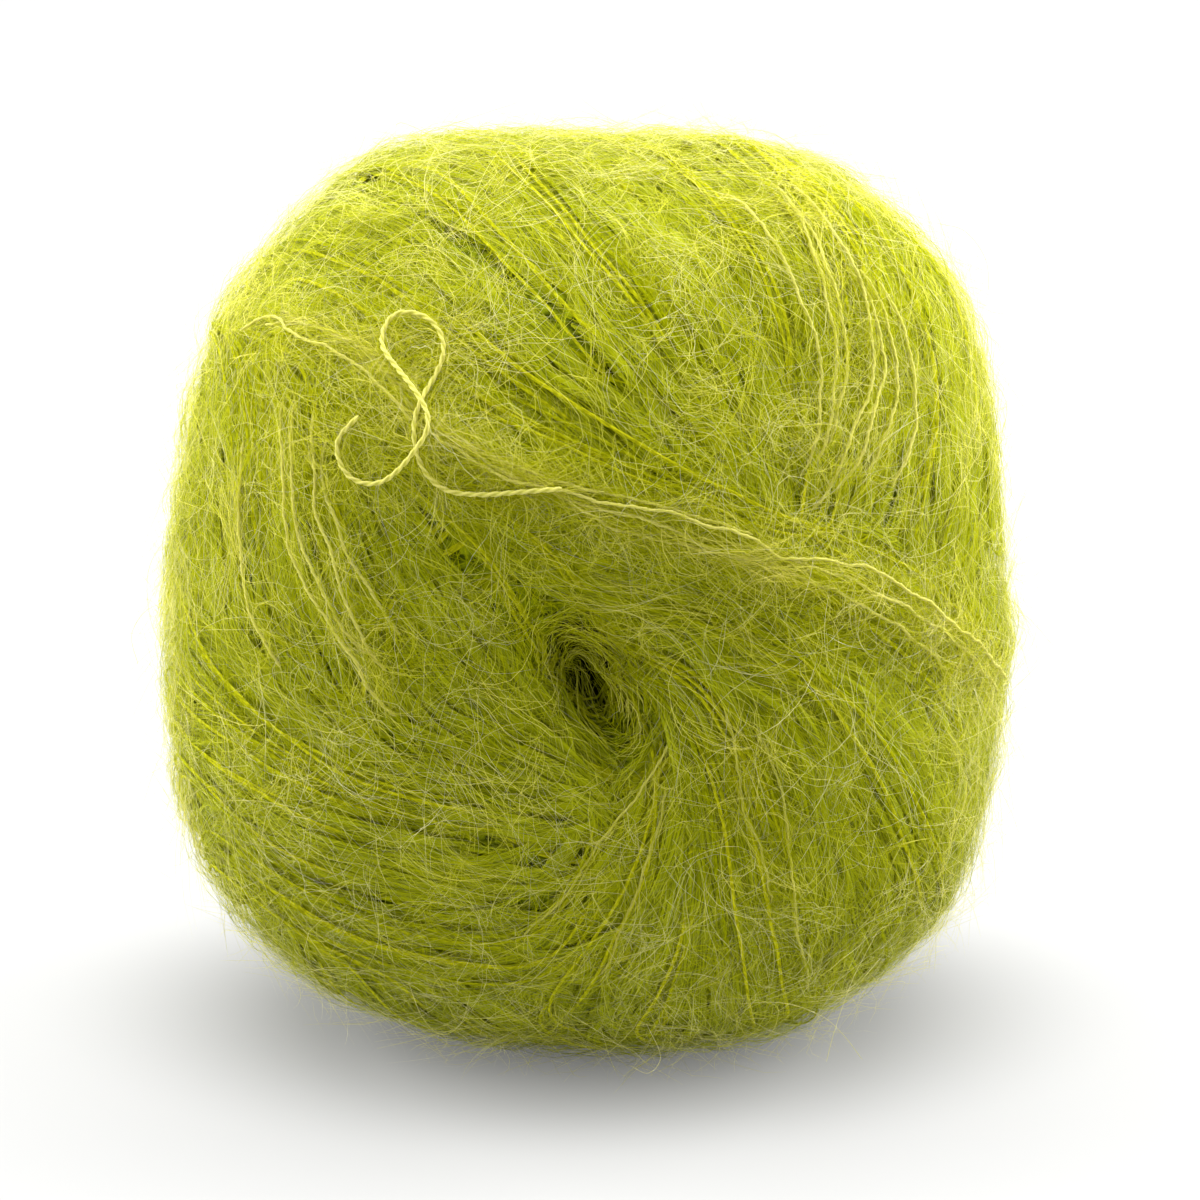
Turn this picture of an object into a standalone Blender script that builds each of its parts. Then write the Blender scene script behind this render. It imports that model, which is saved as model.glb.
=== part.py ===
"""A centre-pull ball of brushed mohair yarn and its loose end.

The ball stands on a small flat spot at Z = 0. Its winding axis lies along Y, and the pinched end of the
centre hole faces -Y. The wound form, its two dimples and its main bundles of strands are one closed body.
The loose end is a thin tube that lies on the upper left of the front.

Metres, +Z up.
"""

import math

import bmesh
import bpy
from mathutils import Matrix, Vector
from mathutils.bvhtree import BVHTree

MM = 0.001

# The wound form
CENTRE_HEIGHT = 47.0 * MM
HALF_DEPTH = 43.0 * MM
CROWN_POWER = 2.35
SEGMENTS = 76
RINGS = 50
RING_CROWDING = 0.45

# The outline of the ball across its winding axis: degrees anticlockwise from +X, and the radius in mm.
OUTLINE_STEP = 15
OUTLINE_MM = {
    "right": (44.4, 45.6, 49.2, 51.9, 51.6, 49.8),
    "top": (48.8, 49.4, 50.6, 49.0, 46.4, 45.3),
    "left": (45.1, 46.2, 49.0, 51.2, 50.2, 48.8),
    "bottom": (48.4, 49.0, 50.8, 52.2, 49.2, 46.0),
}

# The dimples at the two ends of the winding axis. Each has a slit in a soft valley, whose middle lies
# shift above the slit. Sizes are in mm, and the slit's lean from upright is in degrees.
DIMPLES = [
    {"end": -1, "valley": 4.2, "reach": 12.5, "shift": 3.5, "slit": 8, "wide": 2.6, "long": 5.2, "lean": 26},
    {"end": 1, "valley": 3.0, "reach": 13, "shift": 0, "slit": 5.5, "wide": 3.0, "long": 4.4, "lean": -30},
]

# Bundles of strands that stand out. Each lies in a plane: turn and lean give its normal in degrees,
# off is its distance from the ball's centre, half is its half width, and up is its height, all in mm.
BUNDLES = [
    {"name": "belt", "turn": 67.5, "lean": 8, "off": 13.0, "half": 2.6, "up": 1.3},
    {"name": "left", "turn": 31, "lean": -28, "off": 4.5, "half": 5.0, "up": 0.8},
    {"name": "upper_right", "turn": 149, "lean": -29, "off": 8.0, "half": 4.5, "up": 0.8},
    {"name": "crown", "turn": 34, "lean": 12, "off": 12.0, "half": 7.0, "up": 0.6},
    {"name": "lower_fan", "turn": 13, "lean": 14, "off": 8.0, "half": 5.0, "up": 0.5},
    {"name": "lower_left", "turn": 262, "lean": 9, "off": 12.0, "half": 6.0, "up": 0.7},
    {"name": "lower_right", "turn": -35, "lean": 24, "off": 4.0, "half": 5.0, "up": 0.6},
    {"name": "back_left", "turn": 135, "lean": -8, "off": 14.0, "half": 4.5, "up": 0.7},
    {"name": "back_low", "turn": 235, "lean": -24, "off": 6.0, "half": 5.0, "up": 0.7},
]

# Soft lumps all over: waves round the axis, waves from end to end, a shift in degrees, and a height in mm.
LUMPS = [
    {"round": 3, "along": 2, "shift": 20, "up": 0.45},
    {"round": 5, "along": 1, "shift": 75, "up": 0.35},
    {"round": 7, "along": 3, "shift": 140, "up": 0.25},
]

# The loose end
YARN_DIAMETER = 0.65 * MM
GAP = 0.3 * MM
POINT_SPACING = 1.35 * MM
DROP_FROM = 80.0 * MM
YARN_SIDES = 2
SPLINE_STEPS = 24

# The route of the loose end. It is laid out on a flat sheet that leans back by SHEET_LEAN degrees, with its
# origin over the ball's centre, and then dropped square to the sheet onto the ball. Each row is the place
# to the right and up on the sheet, and the lift over the ball where it passes over itself, all in mm.
SHEET_LEAN = 15
ROUTE = [
    ("leaves the belt", -1.9, 9.2, 0.0),
    ("runs to the left", -6.0, 8.9, 0.0),
    ("", -9.3, 8.7, 0.0),
    ("turns up", -12.3, 9.0, 0.0),
    ("", -14.2, 10.2, 0.0),
    ("", -15.3, 12.1, 0.0),
    ("", -15.7, 14.2, 0.0),
    ("", -15.6, 16.1, 0.0),
    ("", -14.8, 18.2, 0.0),
    ("", -13.7, 20.2, 0.0),
    ("right side of the loop", -13.1, 22.2, 0.0),
    ("", -13.5, 24.2, 0.0),
    ("", -14.8, 25.6, 0.0),
    ("top of the loop", -16.6, 26.2, 0.0),
    ("", -18.1, 25.8, 0.0),
    ("left side of the loop", -18.9, 24.2, 0.1),
    ("", -18.7, 22.5, 0.3),
    ("", -17.5, 20.8, 0.6),
    ("", -16.2, 19.2, 0.95),
    ("over itself", -15.0, 17.6, 1.15),
    ("", -14.1, 15.8, 1.05),
    ("", -14.2, 14.1, 1.05),
    ("over itself again", -15.3, 12.4, 1.15),
    ("", -16.7, 11.0, 0.85),
    ("", -18.5, 9.9, 0.45),
    ("", -20.3, 9.8, 0.15),
    ("hooks back", -22.0, 10.6, 0.0),
    ("", -23.0, 12.3, 0.0),
    ("", -22.9, 14.2, 0.0),
    ("cut end", -21.0, 16.2, 0.0),
]


def clear_scene():
    for old in list(bpy.data.objects):
        bpy.data.objects.remove(old, do_unlink=True)


def fabric(name, colour, roughness):
    material = bpy.data.materials.new(name)
    material.use_nodes = True
    shader = material.node_tree.nodes["Principled BSDF"]
    shader.inputs["Base Color"].default_value = (*colour, 1.0)
    shader.inputs["Roughness"].default_value = roughness
    shader.inputs["Metallic"].default_value = 0.0
    return material


def smooth_between(a, b, c, d, t):
    """The Catmull-Rom curve from b to c, at t from 0 to 1."""
    ends = 2 * b + (c - a) * t
    bends = (2 * a - 5 * b + 4 * c - d) * t**2 + (3 * b - a - 3 * c + d) * t**3
    return 0.5 * (ends + bends)


def outline_radius(turn):
    """The radius across the axis at an angle in radians from +X, on a smooth closed curve."""
    radii = [radius for side in OUTLINE_MM.values() for radius in side]
    place = math.degrees(turn) % 360 / OUTLINE_STEP
    row = int(place)
    near = [radii[(row + shift) % len(radii)] for shift in (-1, 0, 1, 2)]
    return smooth_between(*near, place - row) * MM


def plain_radius(direction):
    """The distance from the centre to the smooth form: the outline, crowned towards both ends."""
    across = math.hypot(direction.x, direction.z)
    outline = outline_radius(math.atan2(direction.z, direction.x))
    sides = (across / outline) ** CROWN_POWER
    ends = (abs(direction.y) / HALF_DEPTH) ** CROWN_POWER
    return (sides + ends) ** (-1 / CROWN_POWER)


def dimple_depth(spot):
    depth = 0.0
    for dimple in DIMPLES:
        if spot.y * dimple["end"] <= 0:
            continue
        lean = math.radians(dimple["lean"])
        wide = (spot.x * math.cos(lean) + spot.z * math.sin(lean)) / MM
        tall = (spot.z * math.cos(lean) - spot.x * math.sin(lean)) / MM
        far = math.hypot(spot.x / MM, spot.z / MM - dimple["shift"]) / dimple["reach"]
        slit = (wide / dimple["wide"]) ** 2 + (tall / dimple["long"]) ** 2
        depth += dimple["valley"] * math.exp(-(far**2)) + dimple["slit"] * math.exp(-slit)
    return depth * MM


def bundle_height(spot):
    height = 0.0
    for bundle in BUNDLES:
        turn = math.radians(bundle["turn"])
        lean = math.radians(bundle["lean"])
        normal = Vector(
            (math.cos(turn) * math.cos(lean), math.sin(lean), math.sin(turn) * math.cos(lean))
        )
        away = (spot.dot(normal) / MM - bundle["off"]) / bundle["half"]
        height += bundle["up"] * math.exp(-(away**2))
    return height * MM


def lump_height(direction):
    turn = math.atan2(direction.z, direction.x)
    across = math.hypot(direction.x, direction.z)
    height = 0.0
    for lump in LUMPS:
        phase = lump["round"] * turn + lump["along"] * direction.y * math.pi
        height += lump["up"] * across * math.cos(phase + math.radians(lump["shift"]))
    return height * MM


def ball_point(direction):
    """The surface of the ball in a unit direction from its centre, pressed flat where it stands."""
    radius = plain_radius(direction)
    spot = direction * radius
    radius += bundle_height(spot) + lump_height(direction) - dimple_depth(spot)
    point = direction * radius + Vector((0, 0, CENTRE_HEIGHT))
    point.z = max(point.z, 0.0)
    return point


def ring_angle(ring):
    """The angle from -Y of a ring. Rings crowd towards both ends, where the dimples are."""
    share = ring / RINGS
    return math.pi * (share - RING_CROWDING * math.sin(2 * math.pi * share) / (2 * math.pi))


def build_ball():
    mesh = bmesh.new()
    front = mesh.verts.new(ball_point(Vector((0, -1, 0))))
    rings = []
    for ring in range(1, RINGS):
        angle = ring_angle(ring)
        loop = []
        for step in range(SEGMENTS):
            turn = 2 * math.pi * step / SEGMENTS
            across = math.sin(angle)
            direction = Vector(
                (across * math.cos(turn), -math.cos(angle), across * math.sin(turn))
            )
            loop.append(mesh.verts.new(ball_point(direction)))
        rings.append(loop)
    back = mesh.verts.new(ball_point(Vector((0, 1, 0))))
    for step in range(SEGMENTS):
        after = (step + 1) % SEGMENTS
        mesh.faces.new((front, rings[0][step], rings[0][after]))
        mesh.faces.new((back, rings[-1][after], rings[-1][step]))
        for near, far in zip(rings, rings[1:]):
            mesh.faces.new((near[step], far[step], far[after], near[after]))
    bmesh.ops.triangulate(mesh, faces=mesh.faces[:])
    bmesh.ops.recalc_face_normals(mesh, faces=mesh.faces[:])
    data = bpy.data.meshes.new("ball")
    mesh.to_mesh(data)
    mesh.free()
    data.shade_smooth()
    ball = bpy.data.objects.new("ball", data)
    ball.data.materials.append(fabric("brushed yarn", (0.42, 0.50, 0.03), 0.9))
    bpy.context.scene.collection.objects.link(ball)
    return ball


def faces_of(ball):
    """A tree of the ball's faces, for laying the loose end on them."""
    points = [vertex.co.copy() for vertex in ball.data.vertices]
    return BVHTree.FromPolygons(points, [tuple(face.vertices) for face in ball.data.polygons])


def route_on_sheet():
    """The route as a smooth curve on the sheet, in even fine steps."""
    rows = [Vector(row[1:]) * MM for row in ROUTE]
    rows = [2 * rows[0] - rows[1], *rows, 2 * rows[-1] - rows[-2]]
    curve = []
    for a, b, c, d in zip(rows, rows[1:], rows[2:], rows[3:]):
        curve += [smooth_between(a, b, c, d, step / SPLINE_STEPS) for step in range(SPLINE_STEPS)]
    return curve + [rows[-2]]


def laid_on(tree, curve):
    """The curve dropped square to the sheet, then raised by the gap, the yarn's radius and the lift."""
    sheet = Matrix.Rotation(-math.radians(SHEET_LEAN), 3, "X")
    to_ball = sheet @ Vector((0, 1, 0))
    centre = Vector((0, 0, CENTRE_HEIGHT))
    laid = []
    for place in curve:
        start = centre + sheet @ Vector((place.x, 0, place.y)) - to_ball * DROP_FROM
        hit = tree.ray_cast(start, to_ball)[0]
        outward = (hit - centre).normalized()
        laid.append(hit + outward * (GAP + YARN_DIAMETER / 2 + place.z))
    return laid


def evenly(points, spacing):
    """The points of a polyline at even spacing along it, both ends kept."""
    lengths = [(b - a).length for a, b in zip(points, points[1:])]
    count = round(sum(lengths) / spacing)
    step = sum(lengths) / count
    kept = [points[0]]
    walked = 0.0
    for start, end, length in zip(points, points[1:], lengths):
        while len(kept) < count and walked + length >= len(kept) * step:
            kept.append(start.lerp(end, (len(kept) * step - walked) / length))
        walked += length
    return kept + [points[-1]]


def softened(points, rounds):
    """The points with small steps between the ball's faces smoothed away, the ends kept."""
    for _ in range(rounds):
        middle = [(a + 2 * b + c) / 4 for a, b, c in zip(points, points[1:], points[2:])]
        points = [points[0], *middle, points[-1]]
    return points


def build_loose_end(tree):
    points = evenly(softened(laid_on(tree, route_on_sheet()), SPLINE_STEPS // 2), POINT_SPACING)
    curve = bpy.data.curves.new("loose_end", "CURVE")
    curve.dimensions = "3D"
    curve.bevel_depth = YARN_DIAMETER / 2
    curve.bevel_resolution = YARN_SIDES
    curve.use_fill_caps = True
    spline = curve.splines.new("POLY")
    spline.points.add(len(points) - 1)
    for place, point in zip(spline.points, points):
        place.co = (*point, 1.0)
    loose_end = bpy.data.objects.new("loose_end", curve)
    loose_end.data.materials.append(fabric("yarn", (0.68, 0.72, 0.12), 0.8))
    bpy.context.scene.collection.objects.link(loose_end)
    return loose_end


def stand_over_origin(ball, loose_end):
    """Both objects moved together, so that the ball's box is centred over the origin."""
    across = [vertex.co.x for vertex in ball.data.vertices]
    along = [vertex.co.y for vertex in ball.data.vertices]
    middle = Vector(((min(across) + max(across)) / 2, (min(along) + max(along)) / 2, 0))
    ball.location = -middle
    loose_end.location = -middle


clear_scene()
ball_object = build_ball()
loose_end_object = build_loose_end(faces_of(ball_object))
stand_over_origin(ball_object, loose_end_object)
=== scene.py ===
"""The looks of a ball of brushed mohair yarn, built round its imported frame.

The wound form is replaced by a bed, layers of wound strands and soft locks, and the fuzz brushed out of
them. The strands that stand out, the belt among them, are twisted tubes, and so is the loose end. Metres, +Z
up.
"""

import math

import bpy
import numpy as np
from mathutils import Matrix, Vector
from mathutils.bvhtree import BVHTree


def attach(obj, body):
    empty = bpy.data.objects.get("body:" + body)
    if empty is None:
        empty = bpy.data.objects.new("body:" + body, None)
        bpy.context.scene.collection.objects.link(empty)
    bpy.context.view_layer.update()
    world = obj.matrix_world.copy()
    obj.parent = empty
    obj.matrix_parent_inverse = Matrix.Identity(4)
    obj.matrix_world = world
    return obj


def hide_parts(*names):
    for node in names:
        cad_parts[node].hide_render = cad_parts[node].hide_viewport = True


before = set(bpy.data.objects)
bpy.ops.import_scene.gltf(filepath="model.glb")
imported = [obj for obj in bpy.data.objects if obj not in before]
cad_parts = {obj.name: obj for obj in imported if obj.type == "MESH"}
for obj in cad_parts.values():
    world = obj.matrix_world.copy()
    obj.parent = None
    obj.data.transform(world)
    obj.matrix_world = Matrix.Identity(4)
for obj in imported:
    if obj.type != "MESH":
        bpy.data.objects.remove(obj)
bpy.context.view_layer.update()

MM = 0.001

# The middle of the winding in the frame, and the camera that looks at it
CENTRE = np.array((-0.325, -0.635, 47.0)) * MM
ELEVATION = math.radians(15)
LENS_MM = 100
VIEW_DISTANCE = 0.358
RIGHT = np.array((1.0, 0.0, 0.0))
AHEAD = np.array((0.0, math.cos(ELEVATION), -math.sin(ELEVATION)))
UP = np.array((0.0, math.sin(ELEVATION), math.cos(ELEVATION)))
TARGET = CENTRE + (1.61 * RIGHT - 1.075 * UP) * MM
EYE = TARGET - AHEAD * VIEW_DISTANCE

# The surface is kept as a grid of distances from the centre: rows from -Y to +Y, and columns round Y.
ROWS = 181
COLUMNS = 360
SMOOTH_ROUNDS = 3

# The slit of the centre hole: where its middle is and its half sizes at HOLE_FROM in front of the centre, and
# how it leans. Its sides are ragged by waves: the size of each, its rate per mm and its shift.
HOLE_RIGHT, HOLE_UP = 0.7 * MM, 0.9 * MM
HOLE_FROM = 34 * MM
HOLE_WIDE = 2.9 * MM
HOLE_TALL = 5.8 * MM
HOLE_DEPTH = 13 * MM
HOLE_LEAN = math.radians(26)
HOLE_WAVES = ((0.5 * MM, 1.7, 0.8), (0.3 * MM, 3.1, 0.0))

# A smaller pit at the slit's lower right, from the slit's middle, and its depth as a share of HOLE_DEPTH
PIT_RIGHT, PIT_UP, PIT_REACH = 1.9 * MM, -3.6 * MM, 2.4 * MM
PIT_SHARE = 0.6

# The yarn with its short hair, the loose end's gap over the ball, and the twist in turns per metre
YARN = 0.65 * MM
GAP = 0.3 * MM
TWIST = 400

# The bed under the fibres, and the painted shade in its hole: the bed is darkest within the first of these
# distances from the hole's far end and has its own colour past the second
BED_ROWS, BED_COLUMNS = 110, 200
BED_DEPTH = 2.3 * MM
BED_PAINTED_SHADE_FROM, BED_PAINTED_SHADE_TO = 5 * MM, 9.5 * MM

# Fibres under the first tone are in the hole and darken on down to the last colour, painted shade;
# MIDDLE_TONE is where the middle is.
PAINTED_SHADE_TONE = 0.1
MIDDLE_TONE = 0.6
PAINTED_SHADE_COLOUR = (0.02, 0.025, 0.0)

# What the whole bake map stands for on the locks in mm, and the streaks of fibre that are drawn on them:
# how many per mm across and along, shift, lean, dark, light, and the noise that gives each of the two
LOCK_MAP_WIDE, LOCK_MAP_LONG = 24, 44
LOCK_STREAKS = (
    (7.0, 0.16, 0, 0.0, (0.14, 0.17, 0.0), (0.48, 0.52, 0.0), 0.36, 0.62),
    (6.5, 0.15, 3, 0.42, (0, 0, 0), (0.66, 0.68, 0.02), 0.52, 0.74),
    (8.0, 0.17, 7, -0.55, (0, 0, 0), (0.76, 0.76, 0.08), 0.56, 0.78),
)
LOCK_STARTS_OFF_HOLE, LOCK_DEEPEST_IN_HOLE = 0.6 * MM, 3 * MM
LOCK_SINK = 0.9
LOCK_SAG = 0.35

# Fuzz: how deep in the hole a wisp may start, how far a fibre follows the winding at each step, how far it
# sinks at random in mm, and how much it differs from the others of its wisp
WISP_DEEPEST = 1.2 * MM
FUZZ_FOLLOW = 0.06
FUZZ_SINK = 0.25
FUZZ_OWN = 0.35

# The floor, and its own glow, which rises over this distance from the middle, measured with X squeezed:
# painted light, low near the ball, where it paints the ball's soft shadow
FLOOR_PAINTED_LIGHT_FROM, FLOOR_PAINTED_LIGHT_TO = 12 * MM, 44 * MM
FLOOR_PAINTED_LIGHT_LOW, FLOOR_PAINTED_LIGHT_HIGH = 0.13, 0.545
FLOOR_SHADOW_SQUEEZE = 0.7
FLOOR_RADIUS, FLOOR_SIDES, FLOOR_DROP = 6, 96, 0.2 * MM

# The loose end's route, as in the part: right and up on a sheet that leans back by 15 degrees over the
# centre, and the lift over the ball, in mm.
SHEET_LEAN = 15
DROP_FROM = 80 * MM
LOOSE_END = [
    (-1.9, 9.2, 0), (-6, 8.9, 0), (-9.3, 8.7, 0), (-12.3, 9, 0), (-14.2, 10.2, 0),
    (-15.3, 12.1, 0), (-15.7, 14.2, 0), (-15.6, 16.1, 0), (-14.8, 18.2, 0), (-13.7, 20.2, 0),
    (-13.1, 22.2, 0), (-13.5, 24.2, 0), (-14.8, 25.6, 0), (-16.6, 26.2, 0), (-18.1, 25.8, 0),
    (-18.9, 24.2, 0.1), (-18.7, 22.5, 0.3), (-17.5, 20.8, 0.6), (-16.2, 19.2, 0.95), (-15, 17.6, 1.15),
    (-14.1, 15.8, 1.05), (-14.2, 14.1, 1.05), (-15.3, 12.4, 1.15), (-16.7, 11, 0.85), (-18.5, 9.9, 0.45),
    (-20.3, 9.8, 0.15), (-22, 10.6, 0), (-23, 12.3, 0), (-22.9, 14.2, 0), (-21, 16.2, 0),
]

# Strands that stand out. Each route is right and up in mm on a sheet through the camera's target, square
# to its view, and is laid on the ball from the eye. The number is the height over the ball.
STRANDS = {
    "belt_top": (0.9, [
        (-38.5, 29), (-35.3, 30.4), (-31.8, 27.9), (-26.9, 26), (-23, 22.2), (-17, 17),
        (-10.7, 13.4), (-6.3, 12.1), (-1.2, 10.8), (4.3, 9.9), (10, 8.6), (16.1, 6.6), (19.8, 4.5),
        (23.1, 4.3), (28, 3.7), (32.8, 1.3), (37.1, -1.8), (41.3, -5.4), (43.4, -8.4),
    ]),
    "belt_second": (0.6, [
        (-36, 29.8), (-33.4, 29.9), (-27.9, 28.4), (-24.7, 26), (-20.8, 22.4), (-18, 19.8),
        (-13.6, 16), (-9, 13), (-4, 11), (3, 9.2), (7.5, 7.5), (12.4, 5.5), (17.3, 4.1),
        (20.6, 4.4), (25.6, 2.7), (30.5, 0.5), (36.5, -3), (40.5, -6.5), (43, -10),
    ]),
    "belt_third": (0.5, [
        (-12, 14.6), (-7, 12.6), (-1.9, 9.6), (2.6, 7.5), (8, 6), (13.6, 5), (18.6, 3.6),
        (24.1, 1.6), (28, -0.4), (33, -3.4), (37.5, -7.4),
    ]),
    "belt_fourth": (0.5, [
        (-34.5, 31.2), (-30.5, 29.4), (-26, 27.6), (-22.6, 23.8), (-18.4, 19), (-15.2, 16.8),
        (-11.5, 15.4), (-6, 13.2), (0.5, 11.6), (6, 10.2), (11.5, 8.8), (16.5, 6.9),
    ]),
    "left_one": (0.55, [
        (-35, 22), (-34.4, 16.6), (-34, 10), (-33.2, 4.7), (-31.3, 0.6), (-29.1, -2.5),
        (-26.7, -6.3), (-25, -9.7), (-22.5, -13),
    ]),
    "left_two": (0.5, [
        (-33.6, 22.5), (-33.2, 17.2), (-33.2, 10), (-32, 5.9), (-29.4, -0.5), (-28.1, -2.5),
        (-26, -6),
    ]),
    "left_three": (0.5, [
        (-31.4, 22), (-31, 17.2), (-30.6, 9.5), (-28.9, 4.7), (-27, -1.5), (-26, -3.7),
        (-23.6, -8),
    ]),
    "left_four": (0.3, [(-30.4, 18), (-30.1, 13.5), (-28, 6.5), (-24.4, 0), (-22, -4)]),
    "left_five": (0.3, [(-39.6, 18), (-39, 14.3), (-39, 4.7), (-37.6, -2), (-35, -8)]),
    "right_one": (0.5, [
        (20.4, 46), (23.3, 42.2), (26.3, 38.1), (28.8, 32), (29.5, 26.3), (28.8, 21.9),
        (26.1, 14.8), (24, 10),
    ]),
    "right_two": (0.5, [
        (27, 37), (30, 29.9), (30.6, 24.9), (30, 21.7), (28.5, 16.5), (26.4, 12),
    ]),
    "right_three": (0.5, [(28.6, 36.6), (31, 29.6), (32, 25.8), (31.6, 20), (29.6, 14)]),
    "right_four": (0.5, [(29.8, 36), (32.6, 29.3), (34, 24), (33.8, 18), (32.2, 12)]),
    "right_five": (0.4, [
        (13, 45), (17.6, 40.6), (21.6, 32.9), (23.6, 26.9), (23.9, 20), (22.6, 13.6),
    ]),
    "right_six": (0.4, [(18.4, 46), (22, 40.6), (25.2, 29.6), (25.4, 22), (24, 14.6)]),
    "right_seven": (0.4, [(20, 44), (23.8, 38.1), (26.5, 29), (26.5, 24), (25.4, 17)]),
    "low_one": (0.4, [(8, -16), (4.4, -20.8), (0.3, -26.1), (-4.6, -33.2), (-6.6, -34.8), (-9, -38)]),
    "low_two": (0.4, [(7.4, -21), (5.3, -28.2), (1.9, -37), (0, -42)]),
    "low_three": (0.4, [(13.6, -11), (14.8, -16.2), (15.4, -21.7), (17.8, -28.2), (19, -34)]),
    "low_four": (0.4, [
        (17, -13), (19.5, -19.8), (20.7, -27.7), (21.4, -35.4), (22.6, -40.9), (23, -43.5),
    ]),
}
ROUTE_SPACING = 0.5 * MM

# The strands are drawn at this spacing in mm, and waver in waves of these lengths in mm.
STRAND_SPACING = 0.4
STRAND_WAVES = (9, 4.3, 2.6)

# The way the surface's strands run on the front: routes as above, which the winding follows near them.
LIES = [
    [(-12.9, 43), (-4.3, 32.2), (4.3, 21.5), (10.7, 12.9)],
    [(-4, 45), (5, 34), (12, 24), (18, 13.5)],
    [(4, 46), (13, 35), (18.5, 25), (21.5, 14)],
    [(-37, 36), (-27, 31.5), (-18, 25.5), (-10, 19), (0, 15)],
    [(-28, 41), (-16, 34.5), (-8, 26), (2, 17)],
    [(37, 34), (40, 22), (40, 10), (38, 0)],
    [(-43, -15), (-32.2, -20.4), (-19.3, -24.7), (-8, -27)],
    [(-38, -26), (-27, -32), (-14, -36), (-3, -38.5)],
    [(-41, -4), (-33, -12), (-22, -17.5), (-10, -19)],
    [(-21, 5), (-16, -3), (-9, -11), (-2, -16.5)],
    [(-17, 9), (-9, 1), (-3.5, -4)],
    [(2.2, -10.7), (10.7, -9.7), (21.5, -15)],
    [(3, -3), (12, -1.5), (22, -3.5), (32, -10)],
    [(26.8, 0), (33, -8), (38, -17), (41, -27)],
    [(22, -12), (27, -20), (30.5, -28), (33, -36)],
    [(6, 5), (14, 2.5), (22, -0.5)],
    [(-7, 3), (-5, -4), (-3, -12)],
    [(-3, 5), (-2.5, -2), (-1, -8)],
    [(3, -13), (6.5, -14.8), (9.5, -19), (11.5, -25)],
    [(3.4, -9), (8, -11), (13, -13.5), (17, -19.5)],
    [(1, -14), (2, -19), (1.5, -26)],
    [(-42.5, 27), (-41, 22), (-40, 15), (-40.5, 6)],
    [(-39, 24.5), (-38, 19), (-37.5, 12)],
    [(-40.5, 32.5), (-36.5, 33.5), (-31, 31.5)],
]

# Single fibres that hang clear: routes as above, and how far each point is on the eye's side of the target
# in mm.
STRAYS = [
    [(-20.6, -41, 27), (-19.1, -44.8, 26), (-17, -46.7, 25), (-14.9, -45.4, 25), (-13.9, -42.1, 27)],
    [
        (14.8, -43.4, 27), (18.5, -43.2, 27), (21.5, -43.7, 25), (24.3, -45, 23), (26.3, -46.9, 22),
        (28.2, -49.4, 21),
    ],
    [(29.9, -35.4, 25), (28.2, -38.6, 25), (26.9, -41.3, 25), (25.2, -46.2, 24), (24.3, -49.6, 23)],
    [(-44.5, 8, 3), (-47.2, 5.8, 3), (-48.6, 2.5, 3), (-48.2, -2.4, 4), (-46.4, -6.4, 5)],
    [(-46, 0, 0), (-48.8, -1.2, 0), (-50.3, -3.8, 0), (-49.6, -7, 0)],
    [(5, -45.5, 24), (6.5, -49, 23), (5.2, -50.8, 22), (3.2, -50, 22)],
    [(-9, 49, 0), (-6, 51.2, 0), (-1, 51.8, 0), (3, 50.6, 0)],
    [(36, 40.5, 0), (39.2, 39.6, 0), (41.4, 36.6, 0), (41.8, 33, 0)],
]

# Where the winding shows plainly and the fuzz is thin: a place as above, and how far it reaches in mm.
# FRONT_CALM is the reach of one more such place, at the middle of the front, for the halo only: with fewer of
# its lighter fibres there, the rim is paler than the front, partly painted rim light.
CALM = [
    ((4, 27), 9), ((27, 30), 12), ((30, 18), 9), ((-31, 8), 9), ((14, -28), 11),
    ((1, -30), 8), ((-24, -24), 8),
]
FRONT_CALM = 27 * MM

# Where the fibres that cross the hole start: a route as above
HOLE_ROUTE = [(-3, 1), (-1, -5), (2.5, -13)]

# How far round a route the winding follows it, the spacing that the route is read at, and how strongly the
# winder's own way pulls against it
FOLLOW_REACH = 6.5 * MM
FOLLOW_SPACING = 3 * MM
DEFAULT_PULL = 0.05

# Elsewhere the strands run from end to end as a winder lays them, leaning one way and then the other.
WINDER_LEAN = math.radians(24)
WINDER_OFF = 9 * MM


def unit(vectors):
    return vectors / np.maximum(np.linalg.norm(vectors, axis=-1, keepdims=True), 1e-12)


def dot(a, b):
    return (a * b).sum(axis=-1, keepdims=True)


def turned(vectors, axes, angles):
    """Each vector turned about its unit axis by its angle."""
    angles = np.asarray(angles)[..., None]
    cos, sin = np.cos(angles), np.sin(angles)
    return vectors * cos + np.cross(axes, vectors) * sin + axes * dot(axes, vectors) * (1 - cos)


def sphere_directions(angle, turn):
    """Unit vectors at an angle from -Y and a turn round it, from a column and a row of values."""
    across = np.sin(angle)
    return np.stack([across * np.cos(turn), -np.cos(angle) + 0 * turn, across * np.sin(turn)], axis=-1)


def above_floor(points, height=0.0):
    """The points, each raised to the height if it is lower."""
    points[..., 2] = np.maximum(points[..., 2], height)
    return points


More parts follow.
